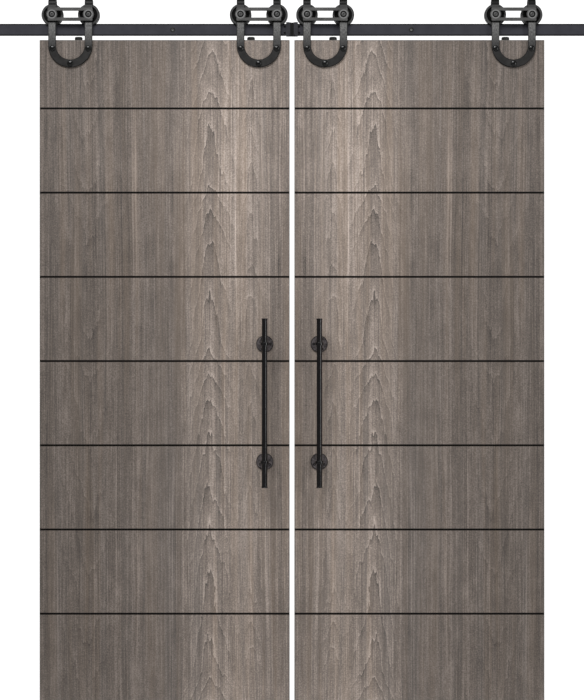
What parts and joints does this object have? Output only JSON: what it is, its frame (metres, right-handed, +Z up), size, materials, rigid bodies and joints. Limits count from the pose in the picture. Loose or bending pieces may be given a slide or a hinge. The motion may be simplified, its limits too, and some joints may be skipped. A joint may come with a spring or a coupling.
{
  "type": "double sliding barn door",
  "caption": "Double sliding barn doors with inlaid strips, hung by horseshoe roller hangers on an exposed flat rail, with long bar pulls.",
  "frame": {"origin": "on the wall's face, behind the middle of the rail and level with its mid-height", "axes": "+X to the right along the rail, seen from the room; +Y into the wall; +Z up"},
  "size_m": [3.212, 0.1695, 2.1604],
  "materials": {
    "door_wood": "grey-brown open-grain veneer, matt lacquer",
    "inlay_black": "matt black strip",
    "strap_black": "satin charcoal powder coat",
    "track_black": "satin black powder coat",
    "wheel_black": "satin black, turned",
    "fixings_black": "black oxide with a soft sheen",
    "disc_black": "matt black",
    "pull_black": "satin black",
    "rosette_dark": "satin dark grey-brown",
    "bright_steel": "ground steel",
    "bumper_rubber": "matt rubber"
  },
  "bodies": {
    "track": {"rail_cover": "track_black", "splice_plate": "track_black", "track_screws": "fixings_black", "wall_standoffs": "track_black", "wall_lags": "fixings_black", "stop_bumpers": "bumper_rubber", "left_rail": "track_black", "left_end_stop": "track_black", "right_rail": "track_black", "right_end_stop": "track_black"},
    "left_door": {"left_door_slab": "door_wood", "left_inlay_strips": "inlay_black", "left_outer_horseshoe": "strap_black", "left_inner_horseshoe": "strap_black", "left_outer_link": "strap_black", "left_inner_link": "strap_black", "left_horseshoe_bolts": "fixings_black", "left_nuts": "fixings_black", "left_axle_bolts": "fixings_black", "left_axle_spacers": "bright_steel", "left_guard_discs": "disc_black", "left_wood_screws": "fixings_black", "left_pull_bar": "pull_black", "left_pull_caps": "pull_black", "left_pull_posts": "pull_black", "left_upper_rosette": "rosette_dark", "left_lower_rosette": "rosette_dark"},
    "right_door": {"right_door_slab": "door_wood", "right_inlay_strips": "inlay_black", "right_outer_horseshoe": "strap_black", "right_inner_horseshoe": "strap_black", "right_outer_link": "strap_black", "right_inner_link": "strap_black", "right_horseshoe_bolts": "fixings_black", "right_nuts": "fixings_black", "right_axle_bolts": "fixings_black", "right_axle_spacers": "bright_steel", "right_guard_discs": "disc_black", "right_wood_screws": "fixings_black", "right_pull_bar": "pull_black", "right_pull_caps": "pull_black", "right_pull_posts": "pull_black", "right_upper_rosette": "rosette_dark", "right_lower_rosette": "rosette_dark"},
    "left_roller_1": {"left_wheel_1": "wheel_black", "left_bearing_1": "bright_steel"},
    "left_roller_2": {"left_wheel_2": "wheel_black", "left_bearing_2": "bright_steel"},
    "left_roller_3": {"left_wheel_3": "wheel_black", "left_bearing_3": "bright_steel"},
    "left_roller_4": {"left_wheel_4": "wheel_black", "left_bearing_4": "bright_steel"},
    "right_roller_1": {"right_wheel_1": "wheel_black", "right_bearing_1": "bright_steel"},
    "right_roller_2": {"right_wheel_2": "wheel_black", "right_bearing_2": "bright_steel"},
    "right_roller_3": {"right_wheel_3": "wheel_black", "right_bearing_3": "bright_steel"},
    "right_roller_4": {"right_wheel_4": "wheel_black", "right_bearing_4": "bright_steel"}
  },
  "joints": [
    {"name": "left_door_slide", "type": "slide", "parent": "track", "child": "left_door", "axis": [-1, 0, 0], "range_m": [0, 0.75]},
    {"name": "right_door_slide", "type": "slide", "parent": "track", "child": "right_door", "axis": [1, 0, 0], "range_m": [0, 0.75]},
    {"name": "left_roller_1_spin", "type": "hinge", "parent": "left_door", "child": "left_roller_1", "pos_m": [-0.7307, -0.038, 0.04475], "axis": [0, 1, 0], "continuous": true},
    {"name": "left_roller_2_spin", "type": "hinge", "parent": "left_door", "child": "left_roller_2", "pos_m": [-0.6197, -0.038, 0.04475], "axis": [0, 1, 0], "continuous": true},
    {"name": "left_roller_3_spin", "type": "hinge", "parent": "left_door", "child": "left_roller_3", "pos_m": [-0.1567, -0.038, 0.04475], "axis": [0, 1, 0], "continuous": true},
    {"name": "left_roller_4_spin", "type": "hinge", "parent": "left_door", "child": "left_roller_4", "pos_m": [-0.0457, -0.038, 0.04475], "axis": [0, 1, 0], "continuous": true},
    {"name": "right_roller_1_spin", "type": "hinge", "parent": "right_door", "child": "right_roller_1", "pos_m": [0.7307, -0.038, 0.04475], "axis": [0, 1, 0], "continuous": true},
    {"name": "right_roller_2_spin", "type": "hinge", "parent": "right_door", "child": "right_roller_2", "pos_m": [0.6197, -0.038, 0.04475], "axis": [0, 1, 0], "continuous": true},
    {"name": "right_roller_3_spin", "type": "hinge", "parent": "right_door", "child": "right_roller_3", "pos_m": [0.1567, -0.038, 0.04475], "axis": [0, 1, 0], "continuous": true},
    {"name": "right_roller_4_spin", "type": "hinge", "parent": "right_door", "child": "right_roller_4", "pos_m": [0.0457, -0.038, 0.04475], "axis": [0, 1, 0], "continuous": true}
  ],
  "couplings": [
    {"joint": "left_roller_1_spin", "follows": "left_door_slide", "rad_per_m": -37.736},
    {"joint": "left_roller_2_spin", "follows": "left_door_slide", "rad_per_m": -37.736},
    {"joint": "left_roller_3_spin", "follows": "left_door_slide", "rad_per_m": -37.736},
    {"joint": "left_roller_4_spin", "follows": "left_door_slide", "rad_per_m": -37.736},
    {"joint": "right_roller_1_spin", "follows": "right_door_slide", "rad_per_m": 37.736},
    {"joint": "right_roller_2_spin", "follows": "right_door_slide", "rad_per_m": 37.736},
    {"joint": "right_roller_3_spin", "follows": "right_door_slide", "rad_per_m": 37.736},
    {"joint": "right_roller_4_spin", "follows": "right_door_slide", "rad_per_m": 37.736}
  ]
}
